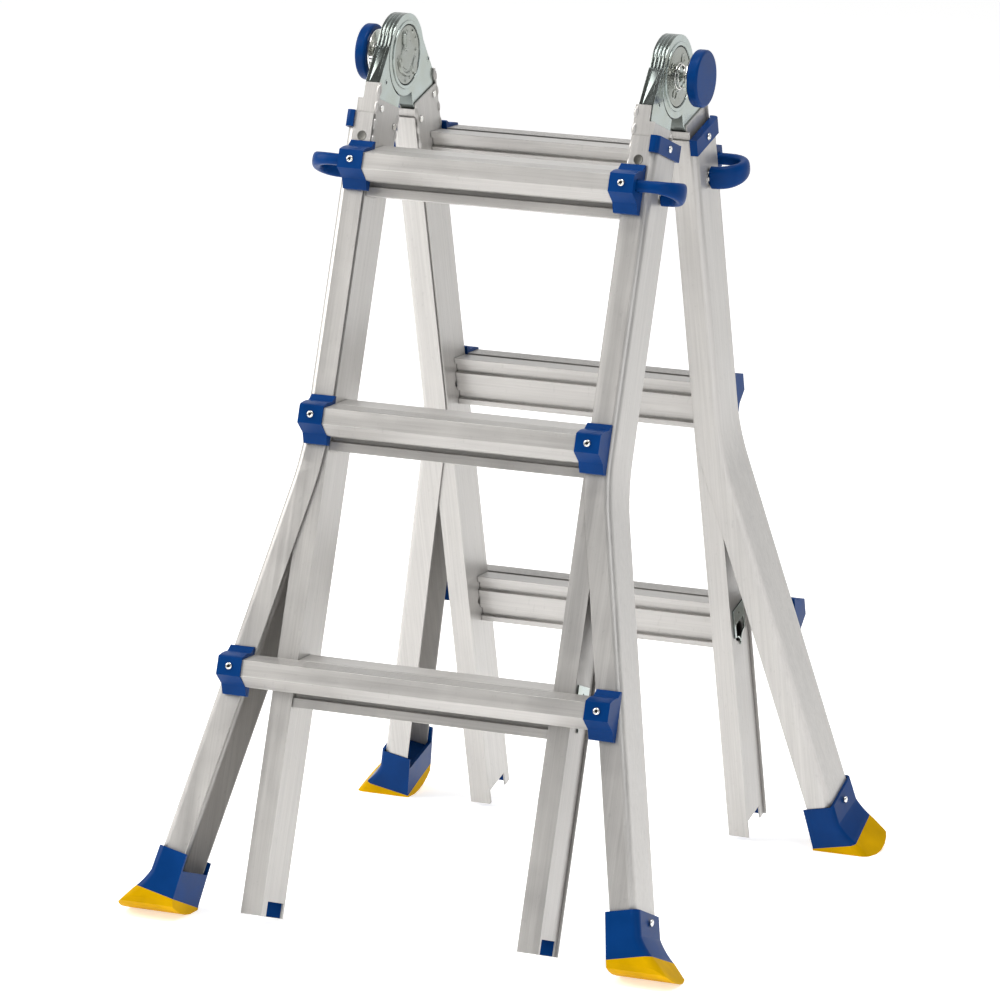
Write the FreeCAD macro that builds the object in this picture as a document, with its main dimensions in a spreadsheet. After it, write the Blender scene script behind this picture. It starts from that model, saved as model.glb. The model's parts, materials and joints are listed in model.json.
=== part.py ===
"""Multi position ladder: two telescoping sections on a pair of locking hinges.

Frame: +X along the rungs, -Y is the front section, +Z up, origin on the floor midway between the feet.
Each section is drawn in its own frame: origin at the hinge axis, X along the rungs, -Y outward through
the treads, -Z down the rails. The section frames lean out from the hinge; the rear one is also turned
half round. Sizes are in millimetres and degrees.
"""
import FreeCAD, Part

import os
import re

import Sketcher

from FreeCAD import Placement, Rotation, Vector

OUT = "parts"
os.makedirs(OUT, exist_ok=True)

# Driving dimensions. Offsets are measured outward from the hinge axis, depths down the rails from it.
DIMENSIONS = {
    "pivot_height": 996.0,
    "lean_angle": 17.1,
    "rung_pitch": 304.8,
    # outer rails
    "outer_half_width": 196.5,
    "outer_flange": 32.0,
    "outer_back": 2.0,
    "outer_front": 72.0,
    "outer_wall": 2.1,
    "outer_corner": 8.0,
    "outer_top": 84.0,
    "flare_start": 456.0,
    "flare_radius": 350.0,
    "flare_angle": 12.3,
    "flare_run": 478.0,
    # inner rails
    "web_face": 162.4,
    "inner_tip": 189.0,
    "inner_back": 5.0,
    "inner_front": 69.0,
    "inner_wall": 2.0,
    "inner_top": 47.0,
    "inner_bottom": 1039.0,
    "relief_depth": 74.0,
    "web_top": 66.0,
    "back_web": 183.5,
    "tip_trim": 7.0,
    "tip_trim_depth": 66.0,
    "notch_wide": 45.0,
    "notch_tall": 18.0,
    # rungs, measured from the rivet row of the first rung
    "rung_row": 145.4,
    "rung_front": 103.0,
    "rung_back": 72.6,
    "nose_top": 9.0,
    "nose_bottom": 10.0,
    "chin_front": 84.0,
    "chin_bottom": 21.0,
    "rung_skin": 1.7,
    "rib_deep": 0.8,
    "step_back": 36.0,
    "step_front": 67.0,
    "step_recess": 5.0,
    "step_bottom": 34.0,
    "step_skin": 1.6,
    # brackets
    "bracket_width": 30.6,
    "bracket_front": 105.0,
    "bracket_reach": 32.0,
    "socket_deep": 10.0,
    "top_bracket_at": 172.0,
    "middle_bracket_at": 175.5,
    "bottom_bracket_at": 232.8,
    # caps
    "cap_top": 82.0,
    "cap_tall": 20.0,
    "cap_skin": 2.8,
    "cap_lip": 8.0,
    # feet
    "boot_top": 980.0,
    "boot_skin": 3.8,
    "boot_split": 1037.0,
    "boot_back": 0.7,
    "sole_depth": 1068.0,
    "boot_tilt": 4.5,
    "toe_half_width": 357.0,
    "boot_corner": 9.0,
    "boot_back_corner": 6.0,
    "ankle_depth": 1002.0,
    "boot_rivet_drop": 5.0,
    # lock handles
    "handle_reach": 236.0,
    "handle_bar": 12.0,
    "handle_thin": 14.0,
    "handle_thick": 28.0,
    "handle_middle": 37.0,
    "leg_middle": 90.0,
    "leg_end": 150.0,
    "pin_radius": 6.0,
    "pin_tip": 189.0,
    # hinges
    "hinge_middle": 174.15,
    "hinge_half": 9.2,
    "hinge_core": 4.5,
    "core_gap": 0.05,
    "disc_radius": 49.5,
    "disc_gap": 1.8,
    "ring_radius": 41.0,
    "ring_high": 1.2,
    "leg_bottom": 110.0,
    "sleeve_radius": 12.0,
    "stem_radius": 6.0,
    "knob_radius": 34.0,
    "knob_back": 205.4,
    "knob_thick": 13.6,
    "rivet_radius": 4.0,
    "running_gap": 0.05,
}

doc = FreeCAD.newDocument("MultiPositionLadder")
sheet = doc.addObject("Spreadsheet::Sheet", "Dims")
for row, (alias, number) in enumerate(DIMENSIONS.items(), start=1):
    sheet.set(f"A{row}", alias)
    sheet.set(f"B{row}", str(number))
    sheet.setAlias(f"B{row}", alias)
doc.recompute()

SIDES = {"left": -1, "right": 1}
LEVELS = {"top": 0, "middle": 1, "bottom": 2}


# ---------------------------------------------------------------- helpers

def bound(text):
    """A size written with bare dimension names, as an expression on the sheet."""
    def reach(match):
        return f"Dims.{match.group()}" if match.group() in DIMENSIONS else match.group()
    return re.sub(r"[a-z][a-z_]+", reach, str(text))


def size(text):
    """The value of such an expression, in millimetres or degrees."""
    return float(sheet.evalExpression(bound(text)))


def flip(text, side):
    """An expression mirrored across the middle of the ladder for side -1."""
    return f"{side} * ({text})"


def origin_plane(body, role):
    return next(item for item in body.Origin.OriginFeatures if item.Role == role)


def sketch_on(body, role, offset="0"):
    sketch = body.newObject("Sketcher::SketchObject", "Sketch")
    sketch.AttachmentSupport = [(origin_plane(body, role), "")]
    sketch.MapMode = "FlatFace"
    sketch.setExpression(".AttachmentOffset.Base.z", bound(offset))
    return sketch


def bind(sketch, constraint, text):
    index = sketch.addConstraint(constraint)
    sketch.setExpression(f"Constraints[{index}]", bound(text))


def arc_between(start, end, radius):
    """Arc from start to end that turns left for a positive radius and right for a negative one."""
    if radius < 0:
        start, end = end, start
    chord = end - start
    middle = (start + end) * 0.5
    rise = max(radius * radius - chord.Length ** 2 / 4, 0.0) ** 0.5
    left = Vector(-chord.y, chord.x, 0).normalize()
    circle = Part.Circle(middle + left * rise, Vector(0, 0, 1), abs(radius))
    return Part.ArcOfCircle(circle, circle.parameter(start), circle.parameter(end))


def draw(sketch, points, closed=True):
    """Lines and arcs through points (across, up) or (across, up, radius of the arc that arrives)."""
    spots = [Vector(size(point[0]), size(point[1]), 0) for point in points]
    total = len(points)
    first = sketch.GeometryCount
    starts, ends = [], []
    for here in range(total if closed else total - 1):
        after = (here + 1) % total
        geometry = first + here
        radius = size(points[after][2]) if len(points[after]) > 2 else 0
        if radius:
            sketch.addGeometry(arc_between(spots[here], spots[after], radius), False)
            bind(sketch, Sketcher.Constraint("Radius", geometry, abs(radius)), f"abs({points[after][2]})")
        else:
            sketch.addGeometry(Part.LineSegment(spots[here], spots[after]), False)
        starts.append((geometry, 2 if radius < 0 else 1))
        ends.append((geometry, 1 if radius < 0 else 2))
    for here in range(len(starts) if closed else len(starts) - 1):
        after = (here + 1) % len(starts)
        sketch.addConstraint(Sketcher.Constraint("Coincident", *ends[here], *starts[after]))
    handles = starts if closed else starts + [ends[-1]]
    for handle, point, spot in zip(handles, points, spots):
        bind(sketch, Sketcher.Constraint("DistanceX", -1, 1, *handle, spot.x), point[0])
        bind(sketch, Sketcher.Constraint("DistanceY", -1, 1, *handle, spot.y), point[1])


def prism(name, role, loops, low, high):
    """Closed loops on an origin plane, padded from low to high along that plane's normal."""
    body = doc.addObject("PartDesign::Body", name)
    sketch = sketch_on(body, role, low)
    for loop in loops:
        draw(sketch, loop)
    pad = body.newObject("PartDesign::Pad", "Pad")
    pad.Profile = sketch
    pad.setExpression("Length", bound(f"({high}) - ({low})"))
    sketch.Visibility = False
    return body


def span(low, high, side):
    """The two ends of a stretch along X, in rising order, on the given side."""
    return (low, high) if side > 0 else (flip(high, side), flip(low, side))


def side_prism(name, loops, low, high, side=1):
    """An outline of (offset, depth) points, extended across the ladder from low to high."""
    mapped = [[(f"-({point[0]})", f"-({point[1]})", *point[2:]) for point in loop] for loop in loops]
    return prism(name, "YZ_Plane", mapped, *span(low, high, side))


def level_prism(name, loops, top, bottom, side=1):
    """An outline of (half width, offset) points, extended down the rail from top to bottom."""
    mapped = [[(flip(point[0], side), f"-({point[1]})", *point[2:]) for point in loop] for loop in loops]
    return prism(name, "XY_Plane", mapped, f"-({bottom})", f"-({top})")


def face_prism(name, loops, near, far, side=1):
    """An outline of (half width, depth) points, extended from the near to the far offset."""
    mapped = [[(flip(point[0], side), f"-({point[1]})", *point[2:]) for point in loop] for loop in loops]
    return prism(name, "XZ_Plane", mapped, near, far)


def rod(name, radius, low, high, offset, depth, side=1):
    """A round bar along X from low to high at an offset and depth."""
    start, end = span(low, high, side)
    bar = doc.addObject("Part::Cylinder", name)
    bar.setExpression("Radius", bound(radius))
    bar.setExpression("Height", bound(f"({end}) - ({start})"))
    bar.Placement = Placement(Vector(0, 0, 0), Rotation(Vector(0, 1, 0), 90))
    bar.setExpression("Placement.Base.x", bound(start))
    bar.setExpression("Placement.Base.y", bound(f"-({offset})"))
    bar.setExpression("Placement.Base.z", bound(f"-({depth})"))
    return bar


def stud(name, radius, across, near, far, depth):
    """A round bar along the offset direction, from the near to the far offset."""
    bar = doc.addObject("Part::Cylinder", name)
    bar.setExpression("Radius", bound(radius))
    bar.setExpression("Height", bound(f"({far}) - ({near})"))
    bar.Placement = Placement(Vector(0, 0, 0), Rotation(Vector(1, 0, 0), 90))
    bar.setExpression("Placement.Base.x", bound(across))
    bar.setExpression("Placement.Base.y", bound(f"-({near})"))
    bar.setExpression("Placement.Base.z", bound(f"-({depth})"))
    return bar


def cut(name, base, *tools):
    for number, tool in enumerate(tools, start=1):
        result = doc.addObject("Part::Cut", name if number == len(tools) else f"{name}_step")
        result.Base = base
        result.Tool = tool
        base = result
    return base


def fuse(name, *shapes):
    result = doc.addObject("Part::MultiFuse", name)
    result.Shapes = list(shapes)
    result.Refine = True
    return result


def common(name, *shapes):
    result = doc.addObject("Part::MultiCommon", name)
    result.Shapes = list(shapes)
    return result


def group(name, solids):
    """Separate solids that share one node."""
    result = doc.addObject("Part::Compound", name)
    result.Links = list(solids)
    return result


def rounded(name, base, radius, wanted):
    """Fillets on the edges of base that the test picks out."""
    doc.recompute()
    result = doc.addObject("Part::Fillet", name)
    result.Base = base
    picked = [index for index, edge in enumerate(base.Shape.Edges, start=1) if wanted(edge)]
    result.Edges = [(index, size(radius), size(radius)) for index in picked]
    return result


def section_frame(section):
    lean = Placement(Vector(0, 0, 0), Rotation(Vector(1, 0, 0), -size("lean_angle")))
    turn = Placement(Vector(0, 0, 0), Rotation(Vector(0, 0, 1), 180 if section == "rear" else 0))
    lift = Placement(Vector(0, 0, size("pivot_height")), Rotation())
    return lift.multiply(turn).multiply(lean)


NODES = []


def finish(piece, label, section):
    """Name a sub-part and stand it in its section's frame."""
    piece.Label = label
    piece.Placement = section_frame(section).multiply(piece.Placement)
    NODES.append(piece)
    return piece


def row(level):
    """Depth of the rivet row at a rung."""
    return f"rung_row + {level} * rung_pitch"


def tread(offset, level, drop=0):
    """Depth of the tread at an offset: level when the ladder stands open."""
    return f"{row(level)} - nose_top - (rung_front - ({offset})) * tan(lean_angle * 1deg) + {drop}"


# ---------------------------------------------------------------- inner part of a section

def inner_rail(name, side):
    """Box section with two short lips outward, hinge relief at the top and notches at the foot."""
    back, front, wall = "inner_back", "inner_front", "inner_wall"
    section = [("web_face", front), ("inner_tip", front), ("inner_tip", f"{front} - {wall}"),
               (f"back_web + {wall}", f"{front} - {wall}"), (f"back_web + {wall}", f"{back} + {wall}"),
               ("inner_tip", f"{back} + {wall}"), ("inner_tip", back), ("web_face", back)]
    hollow = box(f"web_face + {wall}", "back_web", f"{back} + {wall}", f"{front} - {wall}")
    rail = level_prism(f"{name}_box", [section, hollow], "inner_top", "inner_bottom", side)
    relief = level_prism(f"{name}_relief", [box(f"web_face + {wall}", "inner_tip + 1",
                                                f"{back} - 1", f"{back} + {wall} + 0.2")],
                         "inner_top - 1", "relief_depth", side)
    trim = level_prism(f"{name}_trim", [box("inner_tip - tip_trim", "inner_tip + 1",
                                            f"{back} - 1", f"{front} + 1")],
                       "inner_top - 1", "tip_trim_depth", side)
    window = level_prism(f"{name}_window", [box("web_face - 1", f"web_face + {wall} + 0.1",
                                                f"{back} - 1", f"{front} - {wall} - 1")],
                         "inner_top - 1", "web_top", side)
    notch = level_prism(f"{name}_notch", [box("web_face - 1", "inner_tip + 1", f"{back} + 5",
                                              f"{back} + 5 + notch_wide")],
                        "inner_bottom - notch_tall", "inner_bottom + 1", side)
    holes = [rod(f"{name}_hole", radius, low, high, "handle_middle", f"{row(level)} + 6", side)
             for level in LEVELS.values()
             for radius, low, high in (("5", "web_face - 1", "web_face + 5"),
                                       ("13", "back_web - 1", "inner_tip"))]
    return cut(name, rail, relief, trim, window, notch, *holes)


def box(low, high, near, far):
    """Corners of an upright rectangle in any of the outline frames."""
    return [(low, near), (high, near), (high, far), (low, far)]


def inner_rung(name, level):
    """Hollow step between the inner rails: nose, web band and two recesses at the back."""
    zero = row(level)
    back, deep = "step_back", "step_back + step_recess"
    outline = [("step_front", tread("step_front", level, 1.0)), (back, tread(back, level, 1.0)),
               (back, f"{zero} - 21"), (deep, f"{zero} - 21"), (deep, f"{zero} - 9"),
               (back, f"{zero} - 9"), (back, f"{zero} + 15"), (deep, f"{zero} + 15"),
               (deep, f"{zero} + 27"), (back, f"{zero} + 27"), (back, f"{zero} + step_bottom"),
               ("step_front", f"{zero} + step_bottom + 3"), ("step_front", f"{zero} + 26"),
               ("step_front - step_recess", f"{zero} + 24"),
               ("step_front - step_recess", f"{zero} - 10"), ("step_front", f"{zero} - 12")]
    skin = "step_skin"
    hollow = [(f"step_front - step_recess - {skin}", f"{zero} - 14"),
              (f"{deep} + {skin}", f"{zero} - 22"), (f"{deep} + {skin}", f"{zero} - 8"),
              (f"{back} + {skin}", f"{zero} - 6"), (f"{back} + {skin}", f"{zero} + 12.5"),
              (f"{deep} + {skin}", f"{zero} + 14"), (f"{deep} + {skin}", f"{zero} + 32"),
              (f"step_front - step_recess - {skin}", f"{zero} + 33")]
    return side_prism(name, [outline, hollow], "-web_face", "web_face")


def lock_plate(name, level, side):
    """Steel plate on the outward web, with a large oval mouth for the lock pin."""
    low, high = "back_web + inner_wall", "back_web + inner_wall + 2"
    zero, turn, middle = row(level), -1, "handle_middle"
    plate = side_prism(f"{name}_blank", [[(f"{middle} - 17", f"{zero} - 30"),
                                          (f"{middle} + 17", f"{zero} - 30"),
                                          (f"{middle} + 17", f"{zero} + 8"),
                                          (middle, f"{zero} + 25", f"{turn} * 17"),
                                          (f"{middle} - 17", f"{zero} + 8", f"{turn} * 17")]],
                       low, high, side)
    oval = side_prism(f"{name}_oval", [[(f"{middle} - 13", f"{zero} - 9"),
                                        (f"{middle} + 13", f"{zero} - 9"),
                                        (f"{middle} + 13", f"{zero} + 8"),
                                        (middle, f"{zero} + 21", f"{turn} * 13"),
                                        (f"{middle} - 13", f"{zero} + 8", f"{turn} * 13")]],
                      f"{low} - 1", f"{high} + 1", side)
    hole = rod(f"{name}_dot", "1.6", f"{low} - 1", f"{high} + 1", middle, f"{zero} - 20", side)
    return cut(name, plate, oval, hole)


def rail_plug(name, side):
    """Plastic liner bridging the two flanges inside the foot of the box."""
    low, high = "web_face + inner_wall", "back_web"
    block = level_prism(f"{name}_block", [box(low, high, "inner_back + inner_wall",
                                              "inner_front - inner_wall")],
                        "inner_bottom - notch_tall - 5", "inner_bottom - 0.6", side)
    hollow = level_prism(f"{name}_hollow", [box(f"{low} - 1", f"{high} + 1",
                                                "inner_back + inner_wall + 3",
                                                "inner_front - inner_wall - 3")],
                         "inner_bottom - notch_tall - 1", "inner_bottom + 1", side)
    return cut(name, block, hollow)


# ---------------------------------------------------------------- hinges

def leg_points():
    """The leg's corners, from its shoulder at the rail's front to its heel at the back."""
    return [("inner_front - inner_wall", "inner_top"), ("inner_front - inner_wall", "leg_bottom"),
            ("inner_back + inner_wall", "leg_bottom"), ("inner_back + inner_wall", "relief_depth"),
            ("outer_back", "relief_depth - 8")]


def leg_outline():
    """Leg outside the disc: a concave arc round it, then straight down into the rail."""
    clear = "(disc_radius + disc_gap)"
    return [(clear, "0", f"-{clear}"), *leg_points(),
            ("outer_back", f"sqrt(pow({clear}; 2) - pow(outer_back; 2))")]


def plate_outline():
    """Disc and leg in one plate."""
    return [("disc_radius", "0"), *leg_points(), ("outer_back", "disc_radius - 3")]


def disc_ring(name, end, side):
    """Raised ring pressed into the face of an outer plate, on its outer or inner side."""
    near = f"hinge_middle + {end} * (hinge_half - 0.5)"
    far = f"hinge_middle + {end} * (hinge_half + ring_high)"
    low, high = (near, far) if end > 0 else (far, near)
    blank = rod(f"{name}_blank", "ring_radius", low, high, "0", "0", side)
    bore = rod(f"{name}_bore", "ring_radius - 4", f"{low} - 1", f"{high} + 1", "0", "0", side)
    return cut(name, blank, bore)


def rim_groove(name, side):
    """Seam between the two laminations of the core, cut into its rim."""
    low, high = "hinge_middle - 0.35", "hinge_middle + 0.35"
    blank = rod(f"{name}_blank", "disc_radius + 1", low, high, "0", "0", side)
    return cut(name, blank, rod(f"{name}_core", "disc_radius - 1", low, high, "0", "0", side))


def hinge_half(name, section, side):
    """Front half: a core plate with cheeks on its leg. Rear half: two outer plates with a spacer."""
    full, core, gap = "hinge_half", "hinge_core", "hinge_core + core_gap"
    beyond = ("hinge_middle - hinge_half - 3", "hinge_middle + hinge_half + 3")

    def plates(tag, low, high):
        start, end = f"hinge_middle + ({low})", f"hinge_middle + ({high})"
        disc = rod(f"{name}_{tag}_disc", "disc_radius", start, end, "0", "0", side)
        plate = side_prism(f"{name}_{tag}_plate", [plate_outline()], start, end, side)
        return [disc, plate]

    def leg(tag, low, high):
        start, end = f"hinge_middle + ({low})", f"hinge_middle + ({high})"
        return side_prism(f"{name}_{tag}_leg", [leg_outline()], start, end, side)

    window = side_prism(f"{name}_window", [box("17", "57", "relief_depth + 6", "leg_bottom - 8")],
                        *beyond, side)
    if section == "front":
        pieces = plates("core", f"-{core}", core)
        pieces += [leg("inside", f"-{full}", f"-{core}"), leg("outside", core, full)]
        tools = [rim_groove(f"{name}_groove", side)]
        bore = "sleeve_radius"
    else:
        pieces = plates("outside", gap, full) + plates("inside", f"-{full}", f"-({gap})")
        pieces += [leg("spacer", f"-({gap})", gap)]
        pieces += [disc_ring(f"{name}_ring_{end + 1}", end, side) for end in (1, -1)]
        tools = []
        bore = "sleeve_radius + running_gap"
    solid = fuse(f"{name}_solid", *pieces)
    hole = rod(f"{name}_bore", bore, *beyond, "0", "0", side)
    return cut(name, solid, hole, window, *tools)


def pivot_sleeve(name, side):
    """Blind sleeve that the hinge turns on and the knob stem slides in."""
    low, high = "hinge_middle - hinge_half - 0.9", "hinge_middle + hinge_half + 2"
    shell = rod(f"{name}_shell", "sleeve_radius", "hinge_middle - hinge_half", high, "0", "0", side)
    head = rod(f"{name}_head", "sleeve_radius + 2", low, "hinge_middle - hinge_half - 0.1",
               "0", "0", side)
    neck = rod(f"{name}_neck", "sleeve_radius", "hinge_middle - hinge_half - 0.2",
               "hinge_middle - hinge_half", "0", "0", side)
    bore = rod(f"{name}_bore", "stem_radius + running_gap", "hinge_middle - hinge_half + 0.5",
               f"{high} + 1", "0", "0", side)
    return cut(name, fuse(f"{name}_blank", shell, neck, head), bore)


def knob(name, side):
    """Round push knob, its rim bevelled front and back."""
    back, front = "knob_back", "knob_back + knob_thick"
    blank = rod(f"{name}_blank", "knob_radius", back, front, "0", "0", side)
    socket = rod(f"{name}_socket", "stem_radius", f"{back} - 1", f"{back} + 6", "0", "0", side)
    bored = cut(f"{name}_bored", blank, socket)
    return rounded(name, bored, "knob_thick / 4", lambda edge: edge_radius(edge) > size("knob_radius") - 1
                   and len(edge.Vertexes) == 1)


def edge_radius(edge):
    """Radius of a round edge, zero for any other."""
    return edge.Curve.Radius if isinstance(edge.Curve, Part.Circle) else 0.0


def knob_stem(name, side):
    """Stem with its yoke and the two short lock pins."""
    stem = rod(f"{name}_bar", "stem_radius", "hinge_middle + hinge_half - 1", "knob_back + 6",
               "0", "0", side)
    yoke = rod(f"{name}_yoke", "knob_radius - 6", "knob_back - 3", "knob_back", "0", "0", side)
    pins = [rod(f"{name}_pin", "4", "knob_back - 6.5", "knob_back - 2", f"{end} * 20", f"{end} * 12", side)
            for end in (-1, 1)]
    return fuse(name, stem, yoke, *pins)


def hinge_rivet(name, offset, depth, side):
    """Rivet head on the web face and a plain shank seat through to the leg."""
    return rod(name, "rivet_radius", "web_face - 1.6", "web_face", offset, depth, side)


# ---------------------------------------------------------------- outer part of a section

def outer_rail(name, side):
    """Channel open towards the middle, swept down the flared line."""
    body = doc.addObject("PartDesign::Body", f"{name}_channel")
    profile = sketch_on(body, "XY_Plane", "-outer_top")
    face, tip, wall = "outer_half_width", "outer_half_width - outer_flange", "outer_wall"
    far, near, bend = "outer_front", "outer_back", "outer_corner"
    turn = side
    draw(profile, [(flip(x, side), f"-({y})", *rest) for x, y, *rest in [
        (tip, far), (f"{face} - {bend}", far), (face, f"{far} - {bend}", f"{turn} * {bend}"),
        (face, f"{near} + {bend}"), (f"{face} - {bend}", near, f"{turn} * {bend}"), (tip, near),
        (tip, f"{near} + {wall}"), (f"{face} - {bend}", f"{near} + {wall}"),
        (f"{face} - {wall}", f"{near} + {bend}", f"-{turn} * ({bend} - {wall})"),
        (f"{face} - {wall}", f"{far} - {bend}"),
        (f"{face} - {bend}", f"{far} - {wall}", f"-{turn} * ({bend} - {wall})"),
        (tip, f"{far} - {wall}")]])
    path = sketch_on(body, "XZ_Plane")
    draw(path, [(flip(face, side), "-outer_top"), (flip(face, side), "-flare_start"),
                (flip(flare_x("0"), side), f"-({flare_depth('0')})", f"{side} * flare_radius"),
                (flip(flare_x("flare_run"), side), f"-({flare_depth('flare_run')})")], closed=False)
    pipe = body.newObject("PartDesign::AdditivePipe", "Pipe")
    pipe.Profile = profile
    pipe.Spine = (path, [f"Edge{edge}" for edge in (1, 2, 3)])
    pipe.Mode = "Standard"
    pin_hole = rod(f"{name}_pin_hole", "pin_radius + 0.3", "outer_half_width - 5",
                   "outer_half_width + 5", "handle_middle", row(0), side)
    return cut(name, body, pin_hole)


def flare_x(run):
    """Half width of the rail's outer face, a run along the straight flared part."""
    return (f"(outer_half_width + flare_radius * (1 - cos(flare_angle * 1deg))"
            f" + ({run}) * sin(flare_angle * 1deg))")


def flare_depth(run):
    return (f"(flare_start + flare_radius * sin(flare_angle * 1deg)"
            f" + ({run}) * cos(flare_angle * 1deg))")


def face_at(depth):
    """Half width of the rail's outer face at a depth on the flared part."""
    return f"({flare_x('0')} + (({depth}) - {flare_depth('0')}) * tan(flare_angle * 1deg))"


def rung_outline(level, ribs=5):
    """Nose, chin and ribbed tread of an outer rung."""
    zero = row(level)
    points = [("rung_front", f"{zero} + nose_bottom"), ("chin_front", f"{zero} + chin_bottom"),
              ("rung_back", f"{zero} + chin_bottom"), ("rung_back", tread("rung_back", level))]
    pitch = "(rung_front - rung_back - 4) / 5"
    for rib in range(ribs):
        low = f"rung_back + 2 + {rib + 0.35} * {pitch}"
        high = f"rung_back + 2 + {rib + 0.65} * {pitch}"
        points += [(low, tread(low, level)), (low, tread(low, level, "rib_deep")),
                   (high, tread(high, level, "rib_deep")), (high, tread(high, level))]
    return points + [("rung_front", f"{zero} - nose_top")]


def bracket_at(level):
    return ["top_bracket_at", "middle_bracket_at", "bottom_bracket_at"][level]


def outer_rung(name, level):
    """Hollow extrusion that ends in the two brackets."""
    zero, skin = row(level), "rung_skin"
    hollow = [(f"rung_front - {skin}", f"{zero} + nose_bottom - 1"),
              (f"chin_front - 0.8", f"{zero} + chin_bottom - {skin}"),
              (f"rung_back + {skin}", f"{zero} + chin_bottom - {skin}"),
              (f"rung_back + {skin}", tread(f"rung_back + {skin}", level, f"{skin} + rib_deep")),
              (f"rung_front - {skin}", tread(f"rung_front - {skin}", level, f"{skin} + rib_deep"))]
    end = f"{bracket_at(level)} - bracket_width / 2 + socket_deep"
    return side_prism(name, [rung_outline(level), hollow], f"-({end})", end)


def bracket(name, level, side):
    """Plastic bracket: concave shoulder, flat nose with the rivet, sloped underside."""
    zero, at = row(level), bracket_at(level)
    low, high = f"{at} - bracket_width / 2", f"{at} + bracket_width / 2"
    shell = side_prism(f"{name}_shell", [[
        ("outer_front", f"{zero} - bracket_reach + 5"), ("outer_front + 3", f"{zero} - bracket_reach + 5"),
        ("outer_front + 10", f"{zero} - 19"), ("bracket_front", f"{zero} - nose_top - 1.7", "60"),
        ("bracket_front", f"{zero} + nose_bottom + 1"), ("outer_front + 14", f"{zero} + 20.5"),
        ("outer_front + 7", f"{zero} + bracket_reach"), ("outer_front", f"{zero} + bracket_reach")]],
        low, high, side)
    socket = side_prism(f"{name}_socket", [rung_outline(level, ribs=0)], f"{low} - 1",
                        f"{low} + socket_deep", side)
    rivet_hole = stud(f"{name}_rivet_hole", "rivet_radius - 2", flip(at, side),
                      "rung_front", "bracket_front + 1", zero)
    tools = [socket, rivet_hole]
    if level == 0:
        tools.append(face_box(f"{name}_guide", f"{low} + socket_deep - 0.5", f"{high} + 1",
                              "leg_middle - handle_bar / 2 - 0.3", "leg_middle + handle_bar / 2 + 0.3",
                              f"{zero} - handle_thin / 2 - 0.3", f"{zero} + handle_thin / 2 + 0.3",
                              side))
    return cut(name, shell, *tools)


def face_box(name, low, high, near, far, top, bottom, side):
    """A plain block between two half widths, two offsets and two depths."""
    return level_prism(name, [box(low, high, near, far)], top, bottom, side)


def bracket_rivet(name, level, side):
    """Tubular rivet in the nose of a bracket."""
    across, zero = flip(bracket_at(level), side), row(level)
    head = stud(f"{name}_head", "rivet_radius", across, "bracket_front", "bracket_front + 1.4", zero)
    shank = stud(f"{name}_shank", "rivet_radius - 2", across, "rung_front", "bracket_front", zero)
    bore = stud(f"{name}_bore", "1.7", across, "rung_front + 1", "bracket_front + 2", zero)
    return cut(name, fuse(f"{name}_blank", head, shank), bore)


def rail_cap(name, side):
    """Cap over the web at the rail's top end, with a lip on the front flange."""
    low = "inner_tip + 0.8"
    lip = "outer_half_width + cap_skin - cap_lip - 3"
    blank = level_prism(f"{name}_blank", [[
        (lip, "outer_front + cap_skin"), ("outer_half_width + cap_skin - 6", "outer_front + cap_skin"),
        ("outer_half_width + cap_skin", "outer_front + cap_skin - 6", f"{side} * 6"),
        ("outer_half_width + cap_skin", "boot_back"), (low, "boot_back"), (low, "outer_front"),
        (lip, "outer_front")]], "cap_top", "cap_top + cap_tall", side)
    room = rail_envelope(f"{name}_room", "outer_top", "outer_top + 40", side)
    hole = rod(f"{name}_hole", "rivet_radius - 2", "outer_half_width - 1",
               "outer_half_width + cap_skin + 1", "handle_middle", "cap_top + cap_tall / 2", side)
    return cut(name, blank, room, hole)


def rail_envelope(name, top, bottom, side):
    """The straight rail's outer shape, filled, used to clear what fits over it."""
    face, far, near, bend = "outer_half_width", "outer_front", "outer_back", "outer_corner"
    return level_prism(name, [[
        (f"{face} - outer_flange - 10", far), (f"{face} - {bend}", far),
        (face, f"{far} - {bend}", f"{side} * {bend}"), (face, f"{near} + {bend}"),
        (f"{face} - {bend}", near, f"{side} * {bend}"),
        (f"{face} - outer_flange - 10", near)]], top, bottom, side)


def flared_envelope(name, side, wide):
    """The flared rail's outer shape, filled, down to its end."""
    ankle = flare_depth("flare_run")
    top = "boot_top - 30"
    face = face_at(ankle)
    upper = face_at(top)
    return face_prism(name, [[(upper, top), (face, ankle),
                              (f"{face} - {wide} * cos(flare_angle * 1deg)",
                               f"{ankle} + {wide} * sin(flare_angle * 1deg)"),
                              (f"{upper} - {wide} * cos(flare_angle * 1deg)",
                               f"{top} + {wide} * sin(flare_angle * 1deg)")]],
                      "outer_back", "outer_front", side)


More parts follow.
